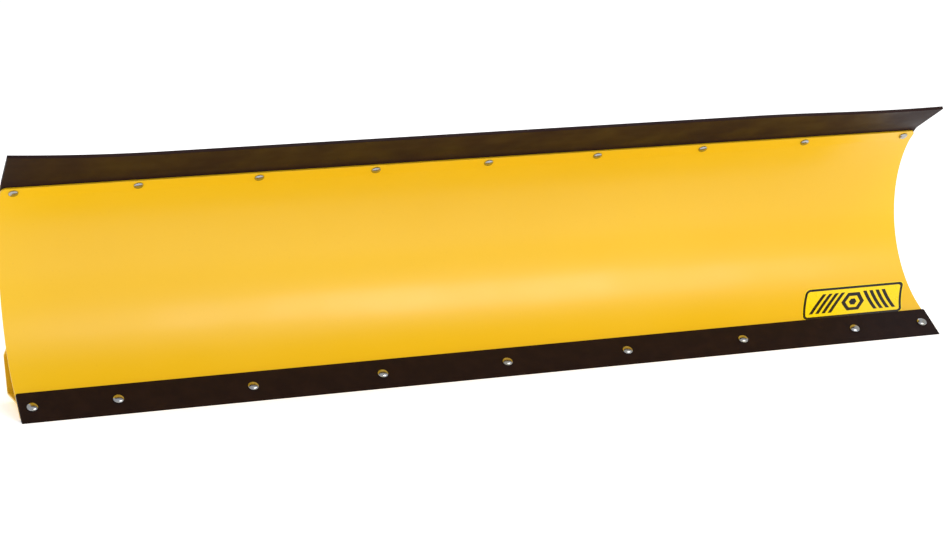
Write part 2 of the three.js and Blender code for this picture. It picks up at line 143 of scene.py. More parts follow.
class Finish:
    """A principled material with a short way to add nodes. Textures use object coordinates, in metres."""

    def __init__(self, name, roughness, metallic=0.0):
        self.material = bpy.data.materials.new(name)
        self.material.use_nodes = True
        self.tree = self.material.node_tree
        self.shader = self.tree.nodes["Principled BSDF"]
        self.shader.inputs["Metallic"].default_value = metallic
        self.shader.inputs["Roughness"].default_value = roughness
        self.place = self.tree.nodes.new("ShaderNodeTexCoord").outputs["Object"]

    def node(self, kind, settings=None, **inputs):
        made = self.tree.nodes.new("ShaderNode" + kind)
        for key, value in (settings or {}).items():
            setattr(made, key, value)
        for key, value in inputs.items():
            self.put(made.inputs[key.replace("_", " ")], value)
        return made

    def put(self, socket, value):
        if isinstance(value, bpy.types.NodeSocket):
            self.tree.links.new(value, socket)
        else:
            socket.default_value = value

    def math(self, operation, a, b=0.0):
        made = self.node("Math", {"operation": operation})
        self.put(made.inputs[0], a)
        self.put(made.inputs[1], b)
        return made.outputs[0]

    def noise(self, scale, detail=2.0, stretch=(1, 1, 1), roughness=0.5):
        where = self.node("Mapping", Vector=self.place, Scale=stretch).outputs[0]
        made = self.node("TexNoise", Vector=where, Scale=scale, Detail=detail, Roughness=roughness)
        return made.outputs["Fac"]

    def range(self, value, low, high, out_low, out_high):
        made = self.node("MapRange", {"clamp": True}, Value=value)
        ends = {"From Min": low, "From Max": high, "To Min": out_low, "To Max": out_high}
        for key, number in ends.items():
            made.inputs[key].default_value = number
        return made.outputs[0]

    def blend(self, share, first, second):
        made = self.node("Mix", {"data_type": "RGBA"})
        self.put(made.inputs["Factor"], share)
        self.put(made.inputs["A"], first)
        self.put(made.inputs["B"], second)
        return made.outputs["Result"]

    def colour(self, value):
        self.put(self.shader.inputs["Base Color"], value)

    def bump(self, *layers):
        """Adds bumps one on the other: each layer is (height, depth in metres)."""
        normal = None
        for height, depth in layers:
            made = self.node("Bump", Height=height, Distance=depth, Strength=1.0)
            if normal is not None:
                self.put(made.inputs["Normal"], normal)
            normal = made.outputs[0]
        self.put(self.shader.inputs["Normal"], normal)


def yellow_paint():
    """Gloss powder coat: orange peel, faint colour drift and dust-dulled patches."""
    f = Finish("yellow_powder_coat", 0.4)
    drift = f.range(f.noise(1.7, 2.0), 0.35, 0.65, 0.0, 1.0)
    base = f.blend(drift, linear(242, 193, 16), linear(239, 189, 10))
    speck = f.range(f.noise(260, 3.0), 0.66, 0.74, 0.0, 0.3)
    f.colour(f.blend(speck, base, linear(224, 168, 6)))
    f.put(f.shader.inputs["Roughness"], f.range(f.noise(5.5, 3.0), 0.3, 0.7, 0.36, 0.46))
    f.shader.inputs["Coat Weight"].default_value = 0.18
    f.shader.inputs["Coat Roughness"].default_value = 0.22
    f.bump((f.noise(210, 2.0), 0.00008), (f.noise(22, 1.0), 0.00012))
    return f.material


def black_steel():
    """Satin black paint over rolled bar, with mill scale and faint scuffs along the bar."""
    f = Finish("wear_bar_black", 0.42)
    scale = f.range(f.noise(34, 4.0), 0.42, 0.68, 0.0, 1.0)
    base = f.blend(scale, linear(29, 17, 16), linear(35, 21, 18))
    scuff = f.range(f.noise(9, 5.0, (1, 26, 26), 0.7), 0.66, 0.74, 0.0, 0.35)
    f.colour(f.blend(scuff, base, linear(60, 54, 48)))
    f.shader.inputs["Specular IOR Level"].default_value = 0.07
    f.put(f.shader.inputs["Roughness"], f.range(f.noise(60, 3.0), 0.3, 0.7, 0.36, 0.5))
    f.bump((f.noise(420, 3.0), 0.00005), (f.noise(14, 3.0), 0.0002))
    return f.material


def flap_rubber():
    """Reinforced rubber sheet: fine cloth print, calender streaks and pale dust."""
    f = Finish("flap_rubber", 0.55)
    streak = f.range(f.noise(6, 4.0, (0.35, 9, 9)), 0.35, 0.7, 0.0, 1.0)
    base = f.blend(streak, linear(33, 18, 18), linear(40, 23, 21))
    dust = f.range(f.noise(170, 4.0), 0.62, 0.78, 0.0, 0.28)
    f.colour(f.blend(dust, base, linear(54, 42, 34)))
    f.shader.inputs["Specular IOR Level"].default_value = 0.08
    f.put(f.shader.inputs["Roughness"], f.range(f.noise(12, 3.0), 0.3, 0.7, 0.42, 0.6))
    bands = {"wave_type": "BANDS", "bands_direction": "X"}
    weave = f.node("TexWave", bands, Vector=f.place, Scale=160, Distortion=0.4)
    f.bump((weave.outputs["Fac"], 0.00004), (f.noise(700, 2.0), 0.00006), (f.noise(7, 1.0), 0.00012))
    return f.material


def zinc_plate():
    """Bright zinc plate: cool metal with a faint yellow passivate cast and fine scratches."""
    f = Finish("zinc_plate", 0.26, metallic=1.0)
    cast = f.range(f.noise(90, 3.0), 0.35, 0.65, 0.0, 1.0)
    f.colour(f.blend(cast, linear(170, 175, 184), linear(162, 158, 144)))
    f.put(f.shader.inputs["Roughness"], f.range(f.noise(600, 3.0), 0.3, 0.7, 0.14, 0.26))
    f.bump((f.noise(1500, 2.0), 0.00001))
    return f.material


def shoe_iron():
    """Black enamelled casting, sandy where it was cast and rubbed to grey metal near the ground."""
    f = Finish("skid_shoe_iron", 0.55)
    height = f.node("SeparateXYZ", Vector=f.place).outputs["Z"]
    near_ground = f.range(height, 0.0, 0.006, 1.0, 0.0)
    rubbed = f.math("MULTIPLY", near_ground, f.range(f.noise(120, 4.0), 0.4, 0.6, 0.2, 1.0))
    base = f.blend(f.noise(40, 3.0), linear(26, 25, 25), linear(48, 45, 43))
    f.colour(f.blend(rubbed, base, linear(138, 134, 128)))
    f.put(f.shader.inputs["Metallic"], rubbed)
    f.put(f.shader.inputs["Roughness"], f.range(f.noise(90, 3.0), 0.3, 0.7, 0.45, 0.68))
    f.bump((f.noise(620, 4.0), 0.00025), (f.noise(60, 2.0), 0.0003))
    return f.material


def label_film():
    """Printed film: a black rounded frame on yellow, with slanted bars on each side of a hexagon."""
    f = Finish("label_film", 0.3)
    across = f.node("SeparateXYZ", Vector=f.node("UVMap").outputs[0])
    x = f.math("SUBTRACT", across.outputs["X"], 0.5)
    y = f.math("MULTIPLY", f.math("SUBTRACT", across.outputs["Y"], 0.5), LABEL_ASPECT)
    u = f.math("ABSOLUTE", x)
    v = f.math("ABSOLUTE", y)

    def inside_box(half_u, half_v, corner):
        over_u = f.math("MAXIMUM", f.math("SUBTRACT", u, half_u - corner), 0.0)
        over_v = f.math("MAXIMUM", f.math("SUBTRACT", v, half_v - corner), 0.0)
        reach = f.math("SQRT", f.math("ADD", f.math("POWER", over_u, 2.0), f.math("POWER", over_v, 2.0)))
        return f.math("LESS_THAN", reach, corner)

    half = LABEL_ASPECT / 2
    frame_outer = inside_box(0.493, half - 0.007, 0.042)
    frame_inner = inside_box(0.469, half - 0.031, 0.026)
    frame_line = f.math("SUBTRACT", frame_outer, frame_inner)
    slant = f.math("ADD", f.math("MULTIPLY", u, 16.0), f.math("MULTIPLY", y, 9.0))
    bar = f.math("GREATER_THAN", f.math("FRACT", slant), 0.42)
    four = f.math("MULTIPLY", f.math("GREATER_THAN", slant, 2.2), f.math("LESS_THAN", slant, 6.2))
    bars = f.math("MULTIPLY", f.math("MULTIPLY", bar, four), f.math("LESS_THAN", v, half * 0.62))
    flats = f.math("MAXIMUM", f.math("ADD", f.math("MULTIPLY", u, 0.866), f.math("MULTIPLY", v, 0.5)), v)
    hexagon = f.math("SUBTRACT", f.math("LESS_THAN", flats, 0.1), f.math("LESS_THAN", flats, 0.064))
    core = f.math("LESS_THAN", flats, 0.034)
    ink = f.math("MAXIMUM", f.math("MAXIMUM", frame_line, bars), f.math("MAXIMUM", hexagon, core))
    fade = f.range(f.noise(30, 3.0), 0.3, 0.7, 0.0, 0.15)
    field = f.blend(fade, linear(255, 222, 6), linear(246, 208, 8))
    f.colour(f.blend(ink, field, linear(12, 11, 10)))
    f.put(f.shader.inputs["Roughness"], f.range(f.noise(80, 2.0), 0.3, 0.7, 0.24, 0.36))
    f.bump((f.noise(300, 2.0), 0.00002))
    return f.material


def studio_floor():
    f = Finish("studio_floor", 0.9)
    f.colour(f.blend(f.noise(0.6, 2.0), linear(250, 250, 250), linear(253, 253, 252)))
    f.shader.inputs["Specular IOR Level"].default_value = 0.1
    f.shader.inputs["Emission Color"].default_value = (1, 1, 1, 1)
    f.shader.inputs["Emission Strength"].default_value = 0.36
    return f.material


FINISHES = {
    "yellow_paint": yellow_paint(),
    "wear_bar_steel": black_steel(),
    "flap_rubber": flap_rubber(),
    "zinc": zinc_plate(),
    "shoe_iron": shoe_iron(),
    "label_film": label_film(),
}

# ---------------------------------------------------------------- mesh tools


def new_object(name, bm, smooth=True, flat_angle=35):
    bmesh.ops.recalc_face_normals(bm, faces=bm.faces)
    mesh = bpy.data.meshes.new(name)
    bm.to_mesh(mesh)
    bm.free()
    made = bpy.data.objects.new(name, mesh)
    bpy.context.scene.collection.objects.link(made)
    if smooth:
        mesh.shade_smooth()
        mesh.set_sharp_from_angle(angle=math.radians(flat_angle))
    return made


def apply_modifiers(made):
    graph = bpy.context.evaluated_depsgraph_get()
    mesh = bpy.data.meshes.new_from_object(made.evaluated_get(graph))
    made.modifiers.clear()
    made.data = mesh
    return made


def bevelled(made, width, segments=2, angle=40):
    """Rounds the sharp edges of a piece and applies the result."""
    made.data.shade_smooth()
    soft = made.modifiers.new("edges", "BEVEL")
    soft.width = width
    soft.segments = segments
    soft.limit_method = "ANGLE"
    soft.angle_limit = math.radians(angle)
    soft.harden_normals = True
    soft.use_clamp_overlap = True
    return apply_modifiers(made)


def piece(made, body, slot, *nodes):
    """Gives a piece its finish and its body, and hides the CAD nodes that it stands for."""
    made.data.materials.clear()
    made.data.materials.append(FINISHES[slot])
    if body is not None:
        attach(made, body)
    if nodes:
        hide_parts(*nodes)
    return made


def rights(path):
    """The unit right-hand normals at the places of a path, lengthened at the corners."""
    steps = []
    for (y0, z0), (y1, z1) in zip(path, path[1:]):
        length = math.hypot(y1 - y0, z1 - z0)
        steps.append(((z1 - z0) / length, (y0 - y1) / length))
    out = []
    for i in range(len(path)):
        a = steps[max(i - 1, 0)]
        b = steps[min(i, len(steps) - 1)]
        k = 1 / (1 + a[0] * b[0] + a[1] * b[1])
        out.append(((a[0] + b[0]) * k, (a[1] + b[1]) * k))
    return out


def offset(path, distance):
    return [(y + ny * distance, z + nz * distance) for (y, z), (ny, nz) in zip(path, rights(path))]


def filleted(path, radius, steps=6):
    """The path with each inner corner turned into an arc of that radius."""
    out = [path[0]]
    for before, corner, after in zip(path, path[1:], path[2:]):
        here = Vector(corner)
        back = (Vector(before) - here).normalized()
        on = (Vector(after) - here).normalized()
        half = back.angle(on) / 2
        centre = here + (back + on).normalized() * (radius / math.sin(half))
        spoke = here + back * (radius / math.tan(half)) - centre
        sweep = (math.pi - 2 * half) * (1 if back.x * on.y < back.y * on.x else -1)
        for i in range(steps + 1):
            c, s = turn(sweep * i / steps)
            out.append((centre.x + spoke.x * c - spoke.y * s, centre.y + spoke.x * s + spoke.y * c))
    return out + [path[-1]]


def stations(x0, x1, step):
    count = max(1, round((x1 - x0) / step))
    return [x0 + (x1 - x0) * i / count for i in range(count + 1)]


def shell(name, front, back, xs, half_width=None, move=None):
    """A closed plate between two section paths, run through the x stations.
    half_width(row) narrows a row, and move(x, row, point) shifts its points."""
    bm = bmesh.new()
    widest = max(abs(xs[0]), abs(xs[-1]))
    layers = []
    for path in (front, back):
        rows = []
        for i, (y, z) in enumerate(path):
            squeeze = half_width(i) / widest if half_width else 1.0
            row = []
            for x in xs:
                point = Vector((x * squeeze, y, z))
                row.append(bm.verts.new(move(x, i, point) if move else point))
            rows.append(row)
        layers.append(rows)
    first, second = layers
    for rows in layers:
        for low, high in zip(rows, rows[1:]):
            for j in range(len(xs) - 1):
                bm.faces.new((low[j], low[j + 1], high[j + 1], high[j]))
    for i in range(len(front) - 1):
        for j in (0, -1):
            bm.faces.new((first[i][j], first[i + 1][j], second[i + 1][j], second[i][j]))
    for i in (0, -1):
        for j in range(len(xs) - 1):
            bm.faces.new((first[i][j], first[i][j + 1], second[i][j + 1], second[i][j]))
    return new_object(name, bm)


def axes(direction):
    """A frame whose third axis is the direction."""
    z = Vector(direction).normalized()
    x = z.orthogonal().normalized()
    return Matrix((x, z.cross(x), z)).transposed()


def lathe(name, profile, origin, direction, sides=48, ring=False):
    """A turned piece: (radius, height) steps round a line. A ring's profile closes on itself."""
    bm = bmesh.new()
    basis = axes(direction)
    rows = []
    for radius, height in profile:
        if radius < 1e-7:
            rows.append([bm.verts.new(Vector(origin) + basis @ Vector((0, 0, height)))])
            continue
        row = []
        for i in range(sides):
            c, s = turn(2 * math.pi * i / sides)
            row.append(bm.verts.new(Vector(origin) + basis @ Vector((radius * c, radius * s, height))))
        rows.append(row)
    pairs = list(zip(rows, rows[1:]))
    if ring:
        pairs.append((rows[-1], rows[0]))
    for low, high in pairs:
        for i in range(sides):
            k = (i + 1) % sides
            corners = [low[i % len(low)], low[k % len(low)], high[k % len(high)], high[i % len(high)]]
            unique = [v for n, v in enumerate(corners) if v not in corners[:n]]
            if len(unique) > 2:
                bm.faces.new(unique)
    return new_object(name, bm)


def plate(name, outline, holes, x0, x1, edge, sides=40):
    """A flat plate in Y and Z between x0 and x1, with round holes (y, z, radius) and eased edges."""
    curve = bpy.data.curves.new(name, "CURVE")
    curve.dimensions = "2D"
    curve.fill_mode = "BOTH"
    curve.extrude = (x1 - x0) / 2 - edge
    curve.bevel_depth = edge
    curve.bevel_resolution = 1
    curve.offset = -edge
    loops = [outline]
    for y, z, radius in holes:
        loops.append([(y + radius * c, z + radius * s)
                      for c, s in (turn(2 * math.pi * i / sides) for i in range(sides))])
    for loop in loops:
        spline = curve.splines.new("POLY")
        spline.points.add(len(loop) - 1)
        for point, (y, z) in zip(spline.points, loop):
            point.co = (y, z, 0, 1)
        spline.use_cyclic_u = True
    holder = bpy.data.objects.new(name, curve)
    bpy.context.scene.collection.objects.link(holder)
    bpy.context.view_layer.update()
    graph = bpy.context.evaluated_depsgraph_get()
    mesh = bpy.data.meshes.new_from_object(holder.evaluated_get(graph))
    bpy.data.objects.remove(holder)
    section_to_frame = Matrix(((0, 0, 1, (x0 + x1) / 2), (1, 0, 0, 0), (0, 1, 0, 0), (0, 0, 0, 1)))
    mesh.transform(section_to_frame)
    bm = bmesh.new()
    bm.from_mesh(mesh)
    bpy.data.meshes.remove(mesh)
    bmesh.ops.remove_doubles(bm, verts=bm.verts, dist=1e-6)
    return new_object(name, bm)


def joined(name, parts):
    """One piece from several, each keeping its shape."""
    bm = bmesh.new()
    for part in parts:
        bm.from_mesh(part.data)
        bpy.data.objects.remove(part)
    return new_object(name, bm)


def weld(name, line, radius=2.6 * MM, sides=8, pitch=3.2 * MM):
    """A rippled weld bead along a line of points, tapering at both ends."""
    bm = bmesh.new()
    lengths = [0.0]
    for a, b in zip(line, line[1:]):
        lengths.append(lengths[-1] + (b - a).length)
    total = lengths[-1]
    count = max(6, round(total / 1.1 / MM))
    rows = []
    for n in range(count + 1):
        reach = total * n / count
        k = max(i for i in range(len(line) - 1) if lengths[i] <= reach + 1e-9)
        share = (reach - lengths[k]) / (lengths[k + 1] - lengths[k])
        centre = line[k].lerp(line[k + 1], share)
        basis = axes(line[k + 1] - line[k])
        end = min(reach, total - reach) / (3 * MM)
        ripple = 1 + 0.10 * math.sin(2 * math.pi * reach / pitch) + 0.12 * noise.noise(centre * 260)
        size = radius * ripple * math.sqrt(min(1.0, 0.12 + end))
        rows.append([bm.verts.new(centre + basis @ Vector((size * c, size * s, 0)))
                     for c, s in (turn(2 * math.pi * i / sides) for i in range(sides))])
    for low, high in zip(rows, rows[1:]):
        for i in range(sides):
            k = (i + 1) % sides
            bm.faces.new((low[i], low[k], high[k], high[i]))
    bm.faces.new(rows[0])
    bm.faces.new(rows[-1])
    return new_object(name, bm, flat_angle=80)


# ---------------------------------------------------------------- moldboard


def moldboard():
    lip_rows = [LIP_LENGTH - LIP_CORNER * (1 - math.sin(math.pi / 2 * i / 8)) for i in range(9)]
    flat = [on_bar(FLAT_START + (FLAT_END - FLAT_START) * i / 6, BAR_THICKNESS + GAP) for i in range(6)]
    arc = roll(ROLL_RADIUS, ROLL_START, ROLL_END, 96)
    bend = [on_lip(u, 0) for u in (4 * MM, 10 * MM)]
    front = flat + arc + bend + [on_lip(u, 0) for u in lip_rows]
    first_lip_row = len(front) - len(lip_rows)

    def half_width(row):
        if row < first_lip_row:
            return HALF_WIDTH
        rise = max(0.0, lip_rows[row - first_lip_row] - (LIP_LENGTH - LIP_CORNER))
        return HALF_WIDTH - (LIP_CORNER - math.sqrt(max(0.0, LIP_CORNER ** 2 - rise ** 2)))

    xs = stations(-HALF_WIDTH, HALF_WIDTH, 40 * MM)
    made = shell("moldboard_sheet", front, offset(front, SHEET), xs, half_width)
    return piece(bevelled(made, 0.5 * MM), "blade", "yellow_paint", "moldboard")


# ---------------------------------------------------------------- wear bar


def wear_bar():
    ground_edge = BAR_THICKNESS / math.sin(BAR_ANGLE)
    corner = 4 * MM
    ups = [0.0, 0.5 * BAR_WIDTH, BAR_WIDTH - corner] + [BAR_WIDTH - corner * (1 - i / 3) for i in (1, 2, 3)]
    front = [on_bar(u, 0) for u in ups]
    back = [(FRONT + ground_edge, 0.0)] + [on_bar(u, BAR_THICKNESS) for u in ups[1:]]

    def half_width(row):
        over = max(0.0, ups[row] - (BAR_WIDTH - corner))
        return HALF_WIDTH - (corner - math.sqrt(max(0.0, corner ** 2 - over ** 2)))

    made = shell("wear_bar_steel", front, back, stations(-HALF_WIDTH, HALF_WIDTH, 60 * MM), half_width)
    return piece(bevelled(made, 0.7 * MM), "blade", "wear_bar_steel", "wear_bar")


# ---------------------------------------------------------------- snow flap

FLAP_THICKNESS = 6 * MM
FLAP_REACH = 118 * MM
FLAP_BEND = math.radians(15)
FLAP_BEND_REACH = 16 * MM
FLAP_FRONT = SHEET + GAP
CLAMP_START = 2 * MM
STRIP_THICKNESS = 3 * MM
HINGE = on_lip(LIP_LENGTH, FLAP_FRONT + FLAP_THICKNESS / 2)

# The rubber doesn't hang evenly: its left end stands up, and it dips a little near the right end.
END_LIFT = math.radians(4.8)
END_LIFT_RUN = 270 * MM
DIP = math.radians(2.3)
DIP_CENTRE = 820 * MM
DIP_HALF_RUN = 320 * MM


def flap_lift(x):
    lift = END_LIFT * max(0.0, 1 - (x + HALF_WIDTH) / END_LIFT_RUN) ** 2
    dip = DIP * (1 + math.cos(math.pi * min(1.0, abs(x - DIP_CENTRE) / DIP_HALF_RUN))) / 2
    return lift - dip


def snow_flap():
    front = [on_lip(CLAMP_START + (LIP_LENGTH - CLAMP_START) * i / 4, FLAP_FRONT) for i in range(5)]
    lip_rows = len(front)
    radius = FLAP_BEND_REACH / FLAP_BEND
    for i in range(1, 9):
        c, s = turn(FLAP_BEND * i / 8)
        front.append(on_lip(LIP_LENGTH + radius * s, FLAP_FRONT - radius * (1 - c)))
    end = Vector(front[-1])
    along = (Vector(front[-1]) - Vector(front[-2])).normalized()
    straight = FLAP_REACH - FLAP_BEND_REACH
    front += [tuple(end + along * straight * i / 10) for i in range(1, 11)]

    def move(x, row, point):
        if row < lip_rows:
            return point
        reach = (row - lip_rows + 1) / 8
        angle = -flap_lift(x) * min(1.0, reach)
        arm = Vector((point.y - HINGE[0], point.z - HINGE[1]))
        c, s = turn(angle)
        return Vector((point.x, HINGE[0] + arm.x * c - arm.y * s, HINGE[1] + arm.x * s + arm.y * c))

    xs = stations(-HALF_WIDTH, HALF_WIDTH, 14 * MM)
    made = shell("snow_flap_rubber", front, offset(front, FLAP_THICKNESS), xs, move=move)
    made = bevelled(made, 0.9 * MM)
    piece(made, None, "flap_rubber", "snow_flap", "snow_flap_clamped_edge")
    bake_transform(made)
    return made


def clamp_strip():
    behind = FLAP_FRONT + FLAP_THICKNESS + GAP
    front = [on_lip(u, behind) for u in (CLAMP_START, LIP_LENGTH - 4 * MM)]
    xs = stations(-HALF_WIDTH, HALF_WIDTH, 120 * MM)
    made = shell("flap_clamp_bar", front, offset(front, STRIP_THICKNESS), xs)
    return piece(bevelled(made, 0.6 * MM), "blade", "yellow_paint", "flap_clamp_strip")


# ---------------------------------------------------------------- bolts

BAR_BOLT = {"head": 10.2 * MM, "dome": 5 * MM, "shank": 4.76 * MM, "nut": 7.15 * MM, "nut_height": 6.6 * MM}
FLAP_BOLT = {"head": 8.8 * MM, "dome": 4.2 * MM, "shank": 3.97 * MM, "nut": 6.35 * MM, "nut_height": 6.6 * MM}


def hex_nut(name, flat, height, bore, origin, direction, spin):
    """A hexagon nut with turned, chamfered corners: flat is half the distance across the flats."""
    bm = bmesh.new()
    basis = axes(direction)
    rows = []
    corner = flat / math.cos(math.pi / 6)
    steps = 60
    for level, shrink in ((0.0, 0.965), (0.07, 1.0), (0.86, 1.0), (1.0, 0.93)):
        row = []
        for i in range(steps):
            angle = 2 * math.pi * i / steps
            wedge = (angle + math.pi / 6) % (math.pi / 3) - math.pi / 6
            radius = min(flat / math.cos(wedge), corner * shrink)
            c, s = turn(angle + spin)
            corner_place = basis @ Vector((radius * c, radius * s, height * level))
            row.append(bm.verts.new(Vector(origin) + corner_place))
        rows.append(row)
    inner = []
    for level in (1.0, 0.0):
        inner.append([bm.verts.new(Vector(origin) + basis @ Vector((bore * c, bore * s, height * level)))
                      for c, s in (turn(2 * math.pi * i / steps + spin) for i in range(steps))])
    rows += inner
    for low, high in zip(rows, rows[1:] + rows[:1]):
        for i in range(steps):
            k = (i + 1) % steps
            bm.faces.new((low[i], low[k], high[k], high[i]))
    return new_object(name, bm, flat_angle=28)


def bolt(node, size, stack, up_to, direction, spin):
    """A dome-head bolt through the stack, with a nut and a threaded end."""
    at = Vector(up_to)
    head, dome, shank = size["head"], size["dome"], size["shank"]
    rim = 0.9 * MM
    profile = [(0, -dome - GAP)]
    for i in range(1, 13):
        c, s = turn(math.pi / 2 * (1 - i / 12))
        profile.append((head * c, -GAP - rim - (dome - rim) * s))
    profile += [(head + 0.05 * MM, -GAP - rim * 0.5), (head - 0.25 * MM, -GAP), (shank, -GAP)]
    end = stack + GAP + size["nut_height"]
    top = end + 0.6 * MM
    thread = stack + 0.2 * MM
    profile.append((shank * 0.94, thread))
    pitch = 1.4 * MM
    count = int((top - thread) / pitch)
    for i in range(count):
        profile.append((shank * 0.99, thread + (i + 0.5) * pitch))
        profile.append((shank * 0.88, thread + (i + 1.0) * pitch))
    profile += [(shank * 0.86, top - 0.2 * MM), (shank * 0.7, top), (0, top)]
    stem = lathe(node + "_stem", profile, at, direction, sides=40)
    seat = at + Vector(direction) * (stack + GAP)
    nut = hex_nut(node + "_nut", size["nut"], size["nut_height"], shank * 0.97, seat, direction, spin)
    made = joined(node + "_steel", [stem, nut])
    return piece(made, "blade", "zinc", node)


def bolts():
    bar_stack = BAR_THICKNESS + GAP + SHEET
    flap_stack = FLAP_FRONT + FLAP_THICKNESS + GAP + STRIP_THICKNESS
    for i in range(1, 10):
        for kind, size, place_on, stack, direction, up in (
            ("wear_bar_bolt", BAR_BOLT, on_bar, bar_stack, BAR_BACK, BAR_WIDTH / 2),
            ("flap_bolt", FLAP_BOLT, on_lip, flap_stack, LIP_BACK, LIP_LENGTH / 2),
        ):
            node = f"{kind}_{i}"
            low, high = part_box(node)
            x = (low.x + high.x) / 2
            spin = 0.4 * noise.noise(Vector((i * 1.7, up * 900, 0.5)))
            bolt(node, size, stack, (x, *place_on(up, 0)), direction, spin)


# ---------------------------------------------------------------- label


def label():
    low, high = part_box("label")
    front_behind = BAR_THICKNESS - LABEL_THICKNESS
    flat = [on_bar(LABEL_START + (FLAT_END - LABEL_START) * i / 4, front_behind) for i in range(4)]
    arc = roll(ROLL_RADIUS - GAP - LABEL_THICKNESS, ROLL_START, LABEL_TOP, 24)
    front = flat + arc
    reach = [0.0]
    for a, b in zip(front, front[1:]):
        reach.append(reach[-1] + math.dist(a, b))
    half = (high.x - low.x - LABEL_LEAN * (high.z - low.z)) / 2
    centre = low.x + half
    xs = stations(-half, half, 5 * MM)

    def half_width(row):
        near = min(reach[row], reach[-1] - reach[row])
        over = max(0.0, LABEL_CORNER - near)
        return half - (LABEL_CORNER - math.sqrt(max(0.0, LABEL_CORNER ** 2 - over ** 2)))

    made = shell("label_sheet", front, offset(front, LABEL_THICKNESS), xs, half_width)
    mesh = made.data
    mesh.transform(Matrix.Translation((centre, 0, 0)))
    layer = mesh.uv_layers.new(name="label")
    heights = {i: reach[(i // len(xs)) % len(front)] / reach[-1] for i in range(len(mesh.vertices))}
    for loop in mesh.loops:
        x = mesh.vertices[loop.vertex_index].co.x
        layer.data[loop.index].uv = ((x - centre + half) / (2 * half), heights[loop.vertex_index])
    lean = Matrix.Identity(4)
    lean[0][2], lean[0][3] = LABEL_LEAN, -LABEL_LEAN * low.z
    mesh.transform(lean)
    return piece(made, "blade", "label_film", "label")


# ---------------------------------------------------------------- stiffening

ROLL_BACK = ROLL_RADIUS + SHEET + GAP
CHANNEL_SHEET = 4 * MM
CHANNEL_FILLET = 8 * MM
CHANNEL_STEP = 100 * MM
CHANNEL_MEETS = math.radians(-36.7)
CHANNEL_TOP = (192 * MM, 79 * MM)           # y is behind the bar's front edge
CHANNEL_BOTTOM = (164.5 * MM, 11 * MM)
CHANNEL_TOE = (63 * MM, 20.3 * MM)
UPPER_CHANNEL_OUTER = 253 * MM
RIB_OUTER = 255 * MM
RIB_HEAD = 247 * MM
RIB_LOW = math.radians(-35.4)
RIB_HIGH = math.radians(19.7)
RIB_WELDS = (-30, -8, 12)                   # degrees on the roll at which a bead starts
RIB_WELD_SWEEP = 9


def lower_channel():
    low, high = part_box("lower_channel")
    corners = [(FRONT + y, z) for y, z in (CHANNEL_TOP, CHANNEL_BOTTOM, CHANNEL_TOE)]
    path = filleted([on_roll(ROLL_BACK, CHANNEL_MEETS)] + corners, CHANNEL_FILLET)
    xs = stations(low.x, high.x, CHANNEL_STEP)
    made = shell("lower_channel_sheet", path, offset(path, CHANNEL_SHEET), xs)
    return piece(bevelled(made, 0.6 * MM), "blade", "yellow_paint", "lower_channel")


def upper_channel():
    low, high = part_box("upper_channel")
    outer = UPPER_CHANNEL_OUTER
    upper, lower = math.radians(34), math.radians(20)
    corners = ((ROLL_BACK, upper), (outer, upper), (outer, lower), (ROLL_BACK, lower))
    path = filleted([on_roll(radius, angle) for radius, angle in corners], CHANNEL_FILLET)
    xs = stations(low.x, high.x, CHANNEL_STEP)
    made = shell("upper_channel_sheet", path, offset(path, CHANNEL_SHEET), xs)
    return piece(bevelled(made, 0.6 * MM), "blade", "yellow_paint", "upper_channel")


def ribs():
    inner = roll(ROLL_BACK, RIB_LOW, RIB_HIGH, 40)
    outer = roll(RIB_OUTER, math.radians(12), math.radians(-30), 30)
    outline = inner + [on_roll(RIB_HEAD, RIB_HIGH)] + outer + [on_roll(RIB_OUTER, RIB_LOW)]
    seam = ROLL_RADIUS + SHEET + 1.2 * MM
    for i in range(1, 7):
        node = f"rib_{i}"
        low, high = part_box(node)
        made = plate(node + "_plate", outline, [], low.x, high.x, 0.6 * MM)
        piece(made, "blade", "yellow_paint", node)
        for side, x in ((-1, low.x), (1, high.x)):
            for k, degrees in enumerate(RIB_WELDS):
                arc = roll(seam, math.radians(degrees), math.radians(degrees + RIB_WELD_SWEEP), 8)
                line = [Vector((x + side * 0.6 * MM, y, z)) for y, z in arc]
                bead = weld(f"{node}_weld_{'lr'[side > 0]}{k + 1}", line)
                piece(bead, "blade", "yellow_paint")


# ---------------------------------------------------------------- pivot ears, anchors, skid brackets

POST_RADIUS = 8 * MM
POST_BORE = 8.4 * MM
SEAT_GAP = 0.6 * MM         # between a plate's edge and the channel that it is welded to
SIDES = (("left", -1), ("right", 1))


def behind_channel(z):
    """The y of the lower channel's rear face at a height."""
    slope = (CHANNEL_TOP[0] - CHANNEL_BOTTOM[0]) / (CHANNEL_TOP[1] - CHANNEL_BOTTOM[1])
    return FRONT + CHANNEL_TOP[0] + (z - CHANNEL_TOP[1]) * slope


def plate_welds(name, x0, x1, z0, z1):
    """Beads down both faces of a plate that stands on the lower channel's rear face."""
    for side, x in ((-1, x0), (1, x1)):
        line = [Vector((x + side * 0.8 * MM, behind_channel(z0 + (z1 - z0) * i / 6) + 0.8 * MM,
                        z0 + (z1 - z0) * i / 6)) for i in range(7)]
        bead = weld(f"{name}_weld_{'lr'[side > 0]}", line, radius=3 * MM)
        piece(bead, "blade", "yellow_paint")


